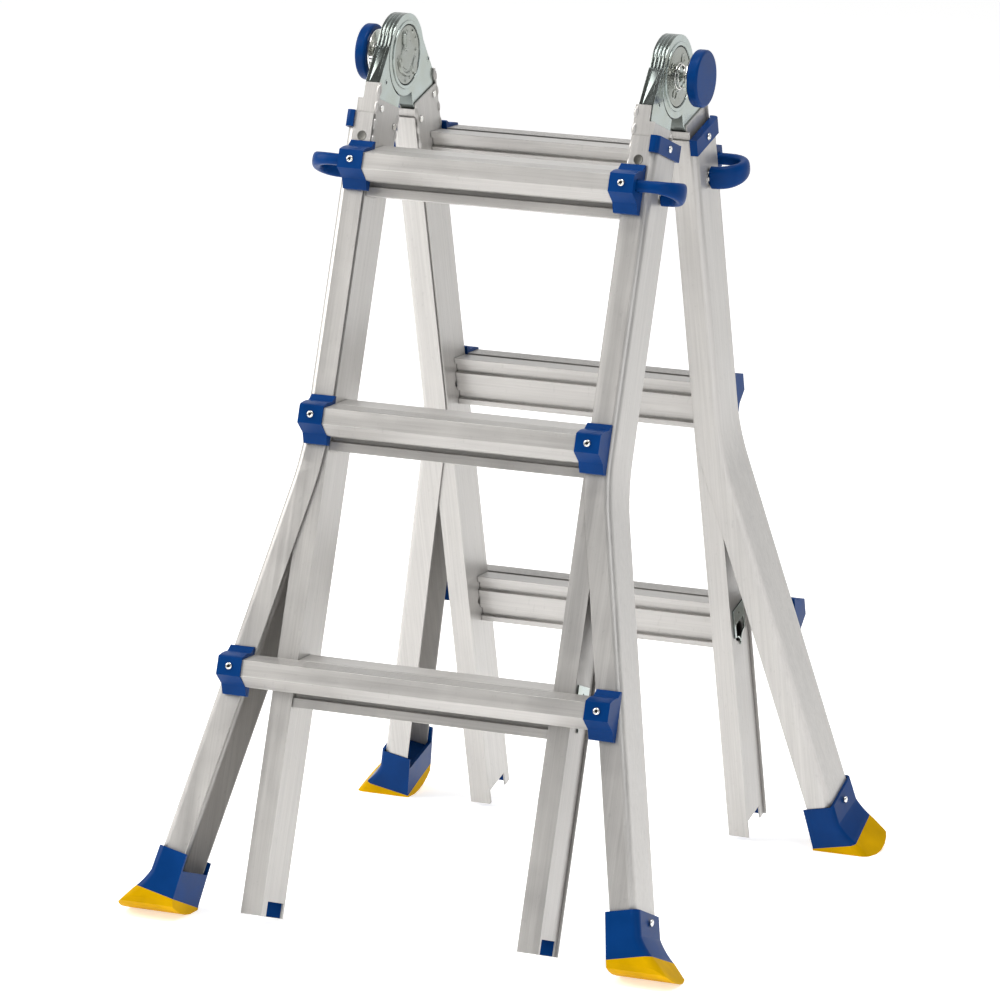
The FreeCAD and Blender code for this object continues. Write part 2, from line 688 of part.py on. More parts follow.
def foot_blank(name, side):
    """Boot and pad together: square to the flared rail at the top, swept out to a blunt toe."""
    skin, half, left = "boot_skin", "toe_half_width", -1
    blank = face_prism(f"{name}_outline", [[
        (f"{face_at('boot_top - 20')} - outer_flange - {skin}", "boot_top - 20"),
        (f"{face_at('boot_top - 20')} + {skin}", "boot_top - 20"),
        (f"{face_at('ankle_depth')} + {skin}", "ankle_depth"),
        (f"{half} - 25", "boot_split - 10", f"{left} * 90"), (half, "boot_split + 17"),
        (f"{half} - 3", "boot_split + 25"), (f"{half} - 12", "sole_depth"),
        (f"{heel()} + 24", "sole_depth"), (heel(), "boot_split + 14", f"-{left} * 24"),
        (heel(), "boot_split")]],
        "boot_back", "outer_front + boot_skin", left)
    blank = rounded(f"{name}_front_round", blank, "boot_corner",
                    lambda edge: on_web_side(edge, "outer_front + boot_skin"))
    foot = rounded(f"{name}_left", blank, "boot_back_corner",
                   lambda edge: on_web_side(edge, "boot_back"))
    return foot if side < 0 else mirrored(name, foot)


def mirrored(name, base):
    """The same piece on the other side of the ladder."""
    result = doc.addObject("Part::Mirroring", name)
    result.Source = base
    result.Normal = Vector(1, 0, 0)
    return result


def on_web_side(edge, offset):
    """Whether an edge runs down the left foot's outward side in the plane at this offset."""
    middle, reach = edge.BoundBox.Center, edge.BoundBox
    return (reach.YLength < 0.01 and abs(middle.y + size(offset)) < 0.01
            and -middle.x > size(face_at("boot_top - 20")) - 1
            and -size("boot_split + 20") < middle.z < -size("boot_top - 19"))


def heel():
    """Half width of the foot's side towards the middle, where boot and pad part."""
    return f"({face_at('boot_split')} - outer_flange - boot_skin - 4)"


def foot_slab(name, side, top, bottom):
    """Everything between two planes square to the flared rail and tilted down towards the back."""
    def edge(across, depth):
        return across, f"{depth} - (({across}) - {heel()}) * tan(flare_angle * 1deg)"

    near, far = "inner_tip", "toe_half_width + 60"
    slab = face_prism(name, [[edge(near, top), edge(far, top), edge(far, bottom), edge(near, bottom)]],
                      "boot_back - 30", "outer_front + 60", side)
    slab.Placement = Placement(Vector(), Rotation(Vector(1, 0, 0), -size("boot_tilt")),
                               Vector(0, -size("handle_middle"), -size("boot_split")))
    return slab


def sole_room(name):
    """Everything that stands above the floor, inside the rounded sole, across both feet."""
    height, lean = "pivot_height", "lean_angle * 1deg"

    def spot(reach, high):
        """Offset and depth of a point at a floor reach and a height."""
        return (f"({reach}) * cos({lean}) - ({height} - ({high})) * sin({lean})",
                f"({reach}) * sin({lean}) + ({height} - ({high})) * cos({lean})")

    return side_prism(name, [[spot("294", "0"), spot("328", "0"), spot("342", "2.6"),
                              spot("356", "7.6"), spot("367", "13.6"), spot("376", "20.5"),
                              spot("400", "160"), spot("230", "160"), spot("289", "12")]],
                      "-toe_half_width - 60", "toe_half_width + 60")


def foot_pieces(name, side):
    """Boot and pad of one foot, cut from one blank along the parting line."""
    foot = common(f"{name}_foot", foot_blank(f"{name}_blank", side), sole_room(f"{name}_sole"),
                  foot_slab(f"{name}_below", side, "boot_top + 1", "sole_depth + 60"))
    above = foot_slab(f"{name}_above", side, "boot_top - 60", "boot_split")
    room = flared_envelope(f"{name}_room", side, "(outer_flange + 0.2)")
    mouth = face_prism(f"{name}_mouth", [[("inner_tip + 20", "boot_top - 20"),
                                          (f"{face_at('boot_top')} - outer_flange / 2", "boot_top - 20"),
                                          (f"{face_at('ankle_depth')} - outer_flange / 2",
                                           "ankle_depth - 2"),
                                          ("inner_tip + 20", "ankle_depth - 2")]],
                       "outer_back + 0.01", "outer_front - 0.01", side)
    rivet = rod(f"{name}_rivet_hole", "rivet_radius - 2", "boot_split - 760", "toe_half_width",
                "handle_middle", "boot_top + boot_rivet_drop", side)
    boot = cut(f"{name}_boot", common(f"{name}_upper", foot, above), room, mouth, rivet)
    pad = cut(f"{name}_pad", foot, above)
    return boot, pad


# ---------------------------------------------------------------- lock handles

def lock_handle(name, side):
    """Hooked loop: a thin leg in the bracket, round to a tall end over the rail's web."""
    zero, bar = row(0), "handle_bar"
    web = "outer_half_width + 1"
    far, near = f"leg_middle + {bar} / 2", f"leg_middle - {bar} / 2"
    low, high = f"handle_middle - {bar} / 2 - 1", f"handle_middle + {bar} / 2 + 1"
    bend, fold = f"(({far}) - ({low})) / 2", f"(({near}) - ({high})) / 2"
    hook = level_prism(f"{name}_hook", [[
        ("leg_end", far), (f"handle_reach - {bend}", far),
        ("handle_reach", f"{low} + {bend}", f"{side} * {bend}"),
        (f"handle_reach - {bend}", low, f"{side} * {bend}"), (web, low), (web, high),
        (f"handle_reach - {bend}", high),
        (f"handle_reach - {bend} + {fold}", f"{high} + {fold}", f"-{side} * {fold}"),
        (f"handle_reach - {bend}", near, f"-{side} * {fold}"), ("leg_end", near)]],
        f"{zero} - handle_thick / 2", f"{zero} + handle_thick / 2", side)
    taper = side_prism(f"{name}_taper", [[
        (f"{far} + 1", f"{zero} - handle_thin / 2"), (near, f"{zero} - handle_thin / 2"),
        ("handle_middle + 6", f"{zero} - handle_thick / 2"),
        (f"{low} - 1", f"{zero} - handle_thick / 2"),
        (f"{low} - 1", f"{zero} + handle_thick / 2"),
        ("handle_middle + 6", f"{zero} + handle_thick / 2"), (near, f"{zero} + handle_thin / 2"),
        (f"{far} + 1", f"{zero} + handle_thin / 2")]],
        "leg_end - 1", "handle_reach + 1", side)
    blank = common(f"{name}_blank", hook, taper)
    socket = rod(f"{name}_socket", "pin_radius", "outer_half_width - 1", f"{web} + 7",
                 "handle_middle", zero, side)
    return cut(name, blank, socket)


def lock_pin(name, side):
    """Steel pin from the handle, through the outer web, up to the lock plate, with its collar."""
    bar = rod(f"{name}_bar", "pin_radius", "pin_tip", "outer_half_width + 8", "handle_middle", row(0), side)
    collar = rod(f"{name}_collar", "pin_radius + 3", "outer_half_width + 0.1", "outer_half_width + 0.9",
                 "handle_middle", row(0), side)
    return fuse(name, bar, collar)


# ---------------------------------------------------------------- the ladder

def build_inner(section):
    for word, side in SIDES.items():
        finish(inner_rail(f"{section}_inner_rail_{word}", side), f"{section}_inner_rail_{word}", section)
        finish(hinge_half(f"{section}_hinge_half_{word}", section, side),
               f"{section}_hinge_half_{word}", section)
    for word, level in LEVELS.items():
        finish(inner_rung(f"{section}_inner_rung_{word}", level), f"{section}_inner_rung_{word}", section)
    plates = [lock_plate(f"{section}_lock_plate", level, side)
              for level in LEVELS.values() for side in SIDES.values()]
    finish(group(f"{section}_lock_plates", plates), f"{section}_lock_plates", section)
    plugs = [rail_plug(f"{section}_rail_plug", side) for side in SIDES.values()]
    finish(group(f"{section}_rail_plugs", plugs), f"{section}_rail_plugs", section)
    rivets = [hinge_rivet(f"{section}_hinge_rivet", offset, depth, side)
              for side in SIDES.values() for offset, depth in (("57", "76"), ("14", "90"))]
    finish(group(f"{section}_hinge_rivets", rivets), f"{section}_hinge_rivets", section)


def build_outer(section):
    for word, side in SIDES.items():
        finish(outer_rail(f"{section}_outer_rail_{word}", side), f"{section}_outer_rail_{word}", section)
        finish(bracket(f"{section}_lock_bracket_{word}", 0, side),
               f"{section}_lock_bracket_{word}", section)
        finish(lock_handle(f"{section}_lock_handle_{word}", side),
               f"{section}_lock_handle_{word}", section)
        finish(lock_pin(f"{section}_lock_pin_{word}", side), f"{section}_lock_pin_{word}", section)
    for word, level in LEVELS.items():
        finish(outer_rung(f"{section}_outer_rung_{word}", level), f"{section}_outer_rung_{word}", section)
    brackets = [bracket(f"{section}_rung_bracket", level, side)
                for level in (1, 2) for side in SIDES.values()]
    finish(group(f"{section}_rung_brackets", brackets), f"{section}_rung_brackets", section)
    rivets = [bracket_rivet(f"{section}_bracket_rivet", level, side)
              for level in LEVELS.values() for side in SIDES.values()]
    finish(group(f"{section}_bracket_rivets", rivets), f"{section}_bracket_rivets", section)
    caps = [rail_cap(f"{section}_rail_cap", side) for side in SIDES.values()]
    finish(group(f"{section}_rail_caps", caps), f"{section}_rail_caps", section)
    feet = [foot_pieces(f"{section}_foot_{word}", side) for word, side in SIDES.items()]
    finish(group(f"{section}_foot_boots", [boot for boot, pad in feet]), f"{section}_foot_boots", section)
    finish(group(f"{section}_foot_pads", [pad for boot, pad in feet]), f"{section}_foot_pads", section)
    cap_face = "outer_half_width + cap_skin"
    cap_rivets = [fuse(f"{section}_cap_rivet",
                       rod(f"{section}_cap_rivet_head", "rivet_radius", cap_face, f"{cap_face} + 1.4",
                           "handle_middle", "cap_top + cap_tall / 2", side),
                       rod(f"{section}_cap_rivet_shank", "rivet_radius - 2", "outer_half_width",
                           cap_face, "handle_middle", "cap_top + cap_tall / 2", side))
                  for side in SIDES.values()]
    foot_face = f"({face_at('boot_top + 9')} + boot_skin)"
    foot_rivets = [fuse(f"{section}_foot_rivet",
                        rod(f"{section}_foot_rivet_head", "rivet_radius", f"{foot_face} + 0.3",
                            f"{foot_face} + 1.9", "handle_middle", "boot_top + boot_rivet_drop", side),
                        rod(f"{section}_foot_rivet_shank", "rivet_radius - 2", f"{foot_face} - 2.4",
                            f"{foot_face} + 0.3", "handle_middle", "boot_top + boot_rivet_drop", side))
                   for side in SIDES.values()]
    finish(group(f"{section}_web_rivets", cap_rivets + foot_rivets), f"{section}_web_rivets", section)


for section in ("front", "rear"):
    build_inner(section)
    build_outer(section)

for word, side in SIDES.items():
    finish(knob(f"hinge_knob_{word}", side), f"hinge_knob_{word}", "front")
    finish(knob_stem(f"knob_stem_{word}", side), f"knob_stem_{word}", "front")
sleeves = [pivot_sleeve(f"pivot_sleeve_{word}", side) for word, side in SIDES.items()]
finish(group("pivot_sleeves", sleeves), "pivot_sleeves", "front")

doc.recompute()

broken = [item.Name for item in doc.Objects if {"Invalid", "Error"} & set(item.State)]
broken += [item.Label for item in NODES if item.Shape.isNull() or not item.Shape.isValid()]
if broken:
    raise SystemExit(f"failed features: {broken}")

for item in NODES:
    item.Shape.exportStep(os.path.join(OUT, f"{item.Label}.step"))
print(len(NODES), "nodes,", round(sum(item.Shape.Volume for item in NODES) / 1000), "cubic centimetres")
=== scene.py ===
"""Looks of the multi position ladder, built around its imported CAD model. Units are metres."""
import json
import math

import bmesh
import bpy
import numpy as np
from mathutils import Matrix, Vector


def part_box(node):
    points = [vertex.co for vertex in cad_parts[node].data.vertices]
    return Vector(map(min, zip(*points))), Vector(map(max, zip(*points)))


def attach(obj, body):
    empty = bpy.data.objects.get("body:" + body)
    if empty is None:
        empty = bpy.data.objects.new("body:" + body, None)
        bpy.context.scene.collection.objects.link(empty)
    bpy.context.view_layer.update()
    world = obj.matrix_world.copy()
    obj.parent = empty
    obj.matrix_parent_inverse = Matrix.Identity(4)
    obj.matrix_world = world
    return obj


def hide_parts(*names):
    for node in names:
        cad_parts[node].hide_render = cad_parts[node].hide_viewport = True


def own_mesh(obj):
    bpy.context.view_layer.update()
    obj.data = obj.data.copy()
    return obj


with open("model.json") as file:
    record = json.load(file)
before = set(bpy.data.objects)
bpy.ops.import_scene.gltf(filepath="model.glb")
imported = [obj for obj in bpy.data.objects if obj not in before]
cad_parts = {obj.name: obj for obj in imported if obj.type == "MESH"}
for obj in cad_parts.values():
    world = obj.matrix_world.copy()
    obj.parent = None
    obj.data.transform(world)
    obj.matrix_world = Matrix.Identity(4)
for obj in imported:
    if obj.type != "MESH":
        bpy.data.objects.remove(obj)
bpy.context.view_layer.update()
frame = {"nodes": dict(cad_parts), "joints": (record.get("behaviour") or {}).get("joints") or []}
scene = bpy.context.scene
nodes = frame["nodes"]

SECTIONS = ("front", "rear")
SIDES = {"left": -1, "right": 1}
MM = 0.001

hinge_joint = next(joint for joint in frame["joints"] if joint["type"] == "hinge")
PIVOT = Vector(hinge_joint["pos_m"])
LEAN = math.radians(17.1)


def section_frame(section):
    """Local frame of a section: x across, y inward, z up along its rails, origin on the hinge."""
    turn = Matrix.Rotation(math.pi if section == "rear" else 0.0, 4, "Z")
    return Matrix.Translation((0, 0, PIVOT.z)) @ turn @ Matrix.Rotation(-LEAN, 4, "X")


FRAMES = {section: section_frame(section) for section in SECTIONS}


def local_points(name, section):
    """A CAD node's points in its section's frame, in millimetres, as (across, offset, depth)."""
    back = FRAMES[section].inverted()
    spots = np.array([back @ vertex.co for vertex in nodes[name].data.vertices]) / MM
    return spots * np.array((1, -1, -1))


# ---------------------------------------------------------------- camera, floor and light

def aim(direction):
    return direction.to_track_quat("-Z", "Y").to_matrix().to_4x4()


CAMERA_AZIMUTH, CAMERA_ELEVATION, CAMERA_ROLL = (math.radians(turn) for turn in (22.603, 11.399, 1.54))
CAMERA_TARGET = Vector((0, 0, 0.48515))
CAMERA_DISTANCE = 7.39814
LENS_PER_SENSOR = 6.17025
CAMERA_SHIFT = (-0.02294, -0.01184)


def build_camera():
    """Long lens, slightly rolled, above and to the right of the front section."""
    azimuth, elevation = CAMERA_AZIMUTH, CAMERA_ELEVATION
    back = Vector((math.sin(azimuth) * math.cos(elevation),
                   -math.cos(azimuth) * math.cos(elevation), math.sin(elevation)))
    data = bpy.data.cameras.new("camera")
    data.sensor_width = 36.0
    data.lens = LENS_PER_SENSOR * data.sensor_width
    data.shift_x, data.shift_y = CAMERA_SHIFT
    data.clip_start, data.clip_end = 0.5, 60.0
    camera = bpy.data.objects.new("camera", data)
    scene.collection.objects.link(camera)
    camera.matrix_world = (Matrix.Translation(CAMERA_TARGET + back * CAMERA_DISTANCE) @ aim(-back)
                           @ Matrix.Rotation(CAMERA_ROLL, 4, "Z"))
    scene.camera = camera


# Name, place, width, height, power in watts and tint of each soft light.
LIGHTS = (
    ("key", (-4.6, -2.2, 3.6), 5.0, 4.0, 330, (1.0, 0.985, 0.96)),
    ("fill", (3.8, -3.4, 2.6), 2.6, 3.0, 48, (0.96, 0.98, 1.0)),
    ("top", (0.4, -0.6, 4.2), 2.6, 1.4, 75, (1.0, 1.0, 1.0)),
)
LIGHT_TARGET = Vector((0, 0, 0.5))
WORLD_LIT, WORLD_DARK = 0.82, 0.10
FLOOR_SIDE, FLOOR_SHADE, FLOOR_GLOW = 30.0, 0.93, 0.52


def soft_light(name, place, width, height, power, tint):
    data = bpy.data.lights.new(name, "AREA")
    data.shape = "RECTANGLE"
    data.size, data.size_y = width, height
    data.energy = power
    data.color = tint
    lamp = bpy.data.objects.new(name, data)
    scene.collection.objects.link(lamp)
    lamp.matrix_world = Matrix.Translation(Vector(place)) @ aim(LIGHT_TARGET - Vector(place))


def build_world():
    """White sweep behind and above, with the dark of the room low in front."""
    world = bpy.data.worlds.new("studio")
    world.use_nodes = True
    tree = world.node_tree
    place = tree.nodes.new("ShaderNodeTexCoord")
    parts = node(tree, "ShaderNodeSeparateXYZ", {0: place.outputs["Generated"]})
    front = ramp(tree, math_node(tree, "MULTIPLY_ADD", parts.outputs["Y"], 0.5, 0.5),
                 [(0.50, (0.0,) * 3), (0.78, (1.0,) * 3)])
    high = ramp(tree, math_node(tree, "MULTIPLY_ADD", parts.outputs["Z"], 0.5, 0.5),
                [(0.925, (0.0,) * 3), (0.975, (1.0,) * 3)])
    lit = math_node(tree, "MAXIMUM", front, high)
    strength = math_node(tree, "MULTIPLY_ADD", lit, WORLD_LIT - WORLD_DARK, WORLD_DARK)
    background = tree.nodes["Background"]
    background.inputs["Color"].default_value = (1, 1, 1, 1)
    tree.links.new(strength, background.inputs["Strength"])
    scene.world = world


def build_stage():
    side = FLOOR_SIDE
    mesh = bpy.data.meshes.new("floor")
    mesh.from_pydata([(-side, -side, 0), (side, -side, 0), (side, side, 0), (-side, side, 0)],
                     [], [(0, 1, 2, 3)])
    floor = bpy.data.objects.new("floor", mesh)
    scene.collection.objects.link(floor)
    finish, tree, shader = new_material("floor_paint")
    shader.inputs["Base Color"].default_value = (FLOOR_SHADE, FLOOR_SHADE, FLOOR_SHADE, 1)
    shader.inputs["Roughness"].default_value = 0.9
    shader.inputs["Specular IOR Level"].default_value = 0.0
    shader.inputs["Emission Color"].default_value = (1, 1, 1, 1)
    shader.inputs["Emission Strength"].default_value = FLOOR_GLOW
    mesh.materials.append(finish)
    build_world()
    for light in LIGHTS:
        soft_light(*light)
    scene.view_settings.view_transform = "Standard"


# ---------------------------------------------------------------- materials

def new_material(name):
    material = bpy.data.materials.new(name)
    material.use_nodes = True
    tree = material.node_tree
    return material, tree, tree.nodes["Principled BSDF"]


def node(tree, kind, inputs=(), **settings):
    made = tree.nodes.new(kind)
    for key, value in settings.items():
        setattr(made, key, value)
    for key, value in dict(inputs).items():
        if isinstance(value, bpy.types.NodeSocket):
            tree.links.new(value, made.inputs[key])
        else:
            made.inputs[key].default_value = value
    return made


def math_node(tree, operation, *values):
    return node(tree, "ShaderNodeMath", dict(enumerate(values)), operation=operation).outputs[0]


def ramp(tree, factor, stops):
    made = tree.nodes.new("ShaderNodeValToRGB")
    tree.links.new(factor, made.inputs["Fac"])
    elements = made.color_ramp.elements
    while len(elements) < len(stops):
        elements.new(0.5)
    for element, (at, color) in zip(elements, stops):
        element.position = at
        element.color = (*color, 1) if len(color) == 3 else color
    return made.outputs["Color"]


def spread(tree, turn=(0, 0, 0), scale=(1, 1, 1)):
    """Object coordinates turned to the part's own direction and stretched along it."""
    place = tree.nodes.new("ShaderNodeTexCoord")
    mapping = node(tree, "ShaderNodeMapping", {"Vector": place.outputs["Object"]})
    mapping.vector_type = "TEXTURE"
    mapping.inputs["Rotation"].default_value = turn
    mapping.inputs["Scale"].default_value = scale
    return mapping.outputs["Vector"]


def noise(tree, vector, scale, detail=3.0, roughness=0.5, distortion=0.0):
    return node(tree, "ShaderNodeTexNoise", {"Vector": vector, "Scale": scale, "Detail": detail,
                                             "Roughness": roughness, "Distortion": distortion}
                ).outputs["Fac"]


def multiply(tree, first, second, share=1.0):
    return node(tree, "ShaderNodeMix", {0: share, 6: first, 7: second}, data_type="RGBA",
                blend_type="MULTIPLY").outputs[2]


def edge_mask(tree, radius):
    """One on worn edges and zero on the flats, from how far a rounded normal turns."""
    soft = node(tree, "ShaderNodeBevel", {"Radius": radius}, samples=4)
    true = tree.nodes.new("ShaderNodeNewGeometry")
    dot = node(tree, "ShaderNodeVectorMath", {0: soft.outputs["Normal"], 1: true.outputs["True Normal"]},
               operation="DOT_PRODUCT").outputs["Value"]
    return math_node(tree, "SUBTRACT", 1.0, dot)


def occlusion_shade(tree, distance, low):
    """Painted shade: darker in grooves and where pieces meet, by how much nearby geometry hides each
    point.
    """
    hidden = node(tree, "ShaderNodeAmbientOcclusion", {"Distance": distance}, samples=4)
    return ramp(tree, hidden.outputs["AO"], [(0.35, (low,) * 3), (0.85, (1.0,) * 3)])


def aluminium(name, turn, scale, shade=(0.535, 0.52, 0.50)):
    """Mill finish extrusion: fine die lines and broad bands along it, cloudy dull patches, painted shade
    in grooves.
    """
    material, tree, shader = new_material(name)
    along, even = spread(tree, turn, scale), spread(tree, turn)
    lines = noise(tree, along, 520.0, 6.0, 0.62)
    bands = noise(tree, along, 95.0, 3.0, 0.5)
    cloud = noise(tree, even, 14.0, 5.0, 0.6, 0.4)
    scuffs = noise(tree, spread(tree, (turn[0] + 0.5, turn[1] + 0.3, turn[2]), (1, 1, 14)), 260.0, 2.0)
    bright, dark = [part * 1.07 for part in shade], [part * 0.91 for part in shade]
    colour = ramp(tree, lines, [(0.30, dark), (0.70, bright)])
    colour = multiply(tree, colour, ramp(tree, bands, [(0.38, (0.94,) * 3), (0.60, (1.0,) * 3)]))
    colour = multiply(tree, colour, ramp(tree, cloud, [(0.33, (0.95, 0.95, 0.955)),
                                                       (0.66, (1.0, 1.0, 1.0))]))
    colour = multiply(tree, colour, ramp(tree, scuffs, [(0.28, (0.93,) * 3), (0.35, (1.0,) * 3)]))
    # Painted shade in grooves and where pieces meet.
    colour = multiply(tree, colour, occlusion_shade(tree, 0.003, 0.45))
    tree.links.new(colour, shader.inputs["Base Color"])
    shader.inputs["Metallic"].default_value = 0.55
    mixed = math_node(tree, "MULTIPLY_ADD", bands, 0.5, math_node(tree, "MULTIPLY", cloud, 0.5))
    tree.links.new(ramp(tree, mixed, [(0.35, (0.30,) * 3), (0.65, (0.46,) * 3)]),
                   shader.inputs["Roughness"])
    bump = node(tree, "ShaderNodeBump", {"Height": lines, "Strength": 0.16, "Distance": 0.0004})
    tree.links.new(bump.outputs["Normal"], shader.inputs["Normal"])
    return material


def plated_steel(name, shade, roughness, patches=0.12, side_shade=1.0):
    """Plated steel: a tint that drifts, soft blotches, fine scratches, bright edges, painted shade on
    faces that don't point across.
    """
    material, tree, shader = new_material(name)
    even = spread(tree)
    blotch = noise(tree, even, 38.0, 4.0, 0.55)
    warm = [part * (1 - patches) for part in (shade[0] * 1.02, shade[1], shade[2] * 0.94)]
    colour = ramp(tree, blotch, [(0.35, warm), (0.65, shade)])
    # Painted shade in grooves and where pieces meet.
    colour = multiply(tree, colour, occlusion_shade(tree, 0.003, 0.35))
    # Painted shade: faces whose normal doesn't point across are darkened by the given factor.
    place = tree.nodes.new("ShaderNodeTexCoord")
    facing = node(tree, "ShaderNodeSeparateXYZ", {0: place.outputs["Normal"]})
    across = math_node(tree, "ABSOLUTE", facing.outputs["X"])
    colour = multiply(tree, colour, ramp(tree, across, [(0.25, (side_shade,) * 3), (0.55, (1.0,) * 3)]))
    worn = ramp(tree, edge_mask(tree, 0.0008), [(0.02, (0.0,) * 3), (0.16, (1.0,) * 3)])
    bright = [min(1.0, part * 1.35) for part in shade]
    colour = node(tree, "ShaderNodeMix", {0: worn, 6: colour, 7: (*bright, 1)},
                  data_type="RGBA").outputs[2]
    tree.links.new(colour, shader.inputs["Base Color"])
    shader.inputs["Metallic"].default_value = 0.95
    tree.links.new(ramp(tree, blotch, [(0.3, (roughness * 0.7,) * 3), (0.7, (roughness * 1.3,) * 3)]),
                   shader.inputs["Roughness"])
    fine = noise(tree, even, 900.0, 2.0)
    bump = node(tree, "ShaderNodeBump", {"Height": fine, "Strength": 0.05, "Distance": 0.0003})
    tree.links.new(bump.outputs["Normal"], shader.inputs["Normal"])
    return material


def moulded(name, shade, roughness, grain, strength, wear=0.35, gloss=0.2):
    """Moulded plastic or rubber: fine grain, slight cloudiness, edges rubbed paler."""
    material, tree, shader = new_material(name)
    even = spread(tree)
    cloud = noise(tree, even, 24.0, 4.0)
    pale = [min(1.0, part * 1.12) for part in shade]
    deep = [part * 0.86 for part in shade]
    colour = ramp(tree, cloud, [(0.32, deep), (0.68, pale)])
    rubbed = ramp(tree, edge_mask(tree, 0.0012), [(0.03, (0.0,) * 3), (0.30, (wear,) * 3)])
    edge = [min(1.0, part * 1.6 + 0.01) for part in shade]
    colour = node(tree, "ShaderNodeMix", {0: rubbed, 6: colour, 7: (*edge, 1)},
                  data_type="RGBA").outputs[2]
    tree.links.new(colour, shader.inputs["Base Color"])
    tree.links.new(ramp(tree, cloud, [(0.3, (roughness - 0.05,) * 3), (0.7, (roughness + 0.06,) * 3)]),
                   shader.inputs["Roughness"])
    fine = noise(tree, even, grain)
    bump = node(tree, "ShaderNodeBump", {"Height": fine, "Strength": strength, "Distance": 0.0004})
    tree.links.new(bump.outputs["Normal"], shader.inputs["Normal"])
    shader.inputs["Specular IOR Level"].default_value = gloss
    return material


STRETCH = (1, 1, 60)
RAIL = {section: aluminium(f"aluminium_rail_{section}", (sign * LEAN, 0, 0), STRETCH)
        for section, sign in (("front", -1), ("rear", 1))}
RUNG = aluminium("aluminium_rung", (0, 0, 0), (60, 1, 1))
# The zinc plates get painted shade on their faces that don't point across.
ZINC = plated_steel("zinc_plate", (0.47, 0.53, 0.515), 0.20, 0.12, 0.38)
# A darker copy of the zinc for the pressed covers: the darker tone is painted shade, for their recessed
# look.
SHADED_COVER_ZINC = plated_steel("zinc_cover_shaded", (0.36, 0.385, 0.36), 0.24, 0.2)
BRIGHT = plated_steel("bright_plate", (0.78, 0.78, 0.77), 0.14, 0.06)
# Dark grey for the flange dimples: painted shade in their hollows.
DIMPLE_SHADE_GREY = plated_steel("dimple_shade_grey", (0.20, 0.20, 0.19), 0.38, 0.2)
# Near-black, used only as painted shade in the hinge seams, rivet bores and rivet holes.
PAINTED_SHADE = moulded("painted_recess_shade", (0.006, 0.006, 0.007), 0.55, 900.0, 0.1, 0.1)
BLUE = moulded("blue_plastic", (0.0004, 0.034, 0.155), 0.34, 900.0, 0.08, 0.3, 0.08)
YELLOW = moulded("yellow_rubber", (0.58, 0.325, 0.0), 0.5, 700.0, 0.16, 0.12, 0.02)


# ---------------------------------------------------------------- CAD nodes

def paint(piece, material):
    piece.data.materials.clear()
    piece.data.materials.append(material)


def soften(piece, width, segments=2, limit=28.0):
    """Small rounds on the hard edges of a CAD node, as it was moulded or extruded."""
    weld = piece.modifiers.new("weld", "WELD")
    weld.merge_threshold = 0.00002
    bevel = piece.modifiers.new("edges", "BEVEL")
    bevel.width = width
    bevel.segments = segments
    bevel.limit_method = "ANGLE"
    bevel.angle_limit = math.radians(limit)
    bevel.use_clamp_overlap = True
    bevel.harden_normals = True


# Part of a node's name, its material and the round on its edges in millimetres; the first match counts.
FINISHES = (
    ("rail_plug", BLUE, 0.6), ("bracket_left", BLUE, 0.9), ("bracket_right", BLUE, 0.9),
    ("rivets", BRIGHT, 0.5), ("_rail_left", RAIL, 0.5), ("_rail_right", RAIL, 0.5),
    ("rung_brackets", BLUE, 0.9), ("caps", BLUE, 0.7), ("boots", BLUE, 1.3), ("hinge_knob", BLUE, 0.5),
    ("rung", RUNG, 0.5), ("pads", YELLOW, 2.6), ("lock_handle", BLUE, 2.5), ("pin", BRIGHT, 0.4),
    ("stem", BRIGHT, 0.5), ("", ZINC, 0.6))


def dress_cad():
    for name, piece in nodes.items():
        material, round_by = next(row[1:] for row in FINISHES if row[0] in name)
        if isinstance(material, dict):
            material = material["front" if name.startswith("front") else "rear"]
        paint(piece, material)
        soften(piece, round_by * MM, 3 if "pads" in name else 2)


# ---------------------------------------------------------------- pieces made here

def loft(rings):
    """Points and faces of a capped skin over rings of equal length."""
    count, total = len(rings[0]), len(rings)
    faces = []
    for start in range(0, (total - 1) * count, count):
        faces += [(start + here, start + (here + 1) % count,
                   start + count + (here + 1) % count, start + count + here)
                  for here in range(count)]
    faces += [tuple(reversed(range(count))), tuple(range((total - 1) * count, total * count))]
    return [point for ring in rings for point in ring], faces


def add_piece(name, shapes, body, material, frame_of=None, flat=35.0):
    """One object from several (points, faces) shapes in millimetres, riding on a body."""
    mesh = bpy.data.meshes.new(name)
    points, faces = [], []
    for spots, sides in shapes:
        start = len(points)
        points += [Vector(spot) * MM for spot in spots]
        faces += [tuple(start + index for index in side) for side in sides]
    mesh.from_pydata(points, [], faces)
    sheet = bmesh.new()
    sheet.from_mesh(mesh)
    bmesh.ops.recalc_face_normals(sheet, faces=sheet.faces)
    for face in sheet.faces:
        face.smooth = True
    for edge in sheet.edges:
        edge.smooth = edge.calc_face_angle(0.0) < math.radians(flat)
    sheet.to_mesh(mesh)
    sheet.free()
    mesh.transform(FRAMES[frame_of] if frame_of else Matrix.Translation(PIVOT))
    piece = bpy.data.objects.new(name, mesh)
    scene.collection.objects.link(piece)
    piece.data.materials.append(material)
    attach(piece, body)
    return piece


def squircle(half_wide, half_high, count=24, power=2.7):
    """Points round a soft rectangle."""
    def bend(value, half):
        return math.copysign(abs(value) ** (2 / power), value) * half
    return [(bend(math.cos(turn), half_wide), bend(math.sin(turn), half_high))
            for turn in (2 * math.pi * step / count for step in range(count))]


